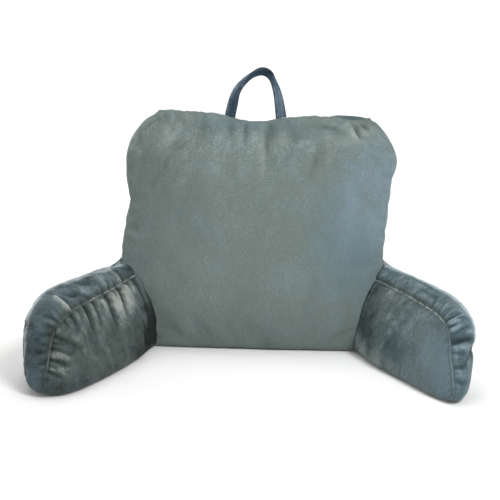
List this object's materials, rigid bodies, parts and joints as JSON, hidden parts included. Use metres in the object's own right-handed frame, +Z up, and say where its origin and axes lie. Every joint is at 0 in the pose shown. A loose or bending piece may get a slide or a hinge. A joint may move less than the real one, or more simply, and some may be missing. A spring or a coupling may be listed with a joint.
{
  "type": "backrest pillow",
  "caption": "Filled backrest pillow with a crowned back cushion, splayed arm cushions at its lower sides and a strap handle at the top seam.",
  "frame": {"origin": "middle of the back cushion's flat base, on the surface that the pillow stands on", "axes": "+Z up, the front with the sitting space faces -Y, the arms spread along X, with the left arm as seen from the front at -X"},
  "size_m": [0.7189, 0.4729, 0.4897],
  "materials": {
    "back_velvet": "short-pile plush velvet, grey green with a cool sheen",
    "arm_velvet": "the same plush velvet, brushed darker",
    "strap_velvet": "folded plush velvet strap, dark slate"
  },
  "bodies": {
    "root": {"back_cushion": "back_velvet", "arm_left": "arm_velvet", "arm_right": "arm_velvet", "handle": "strap_velvet"}
  },
  "joints": []
}
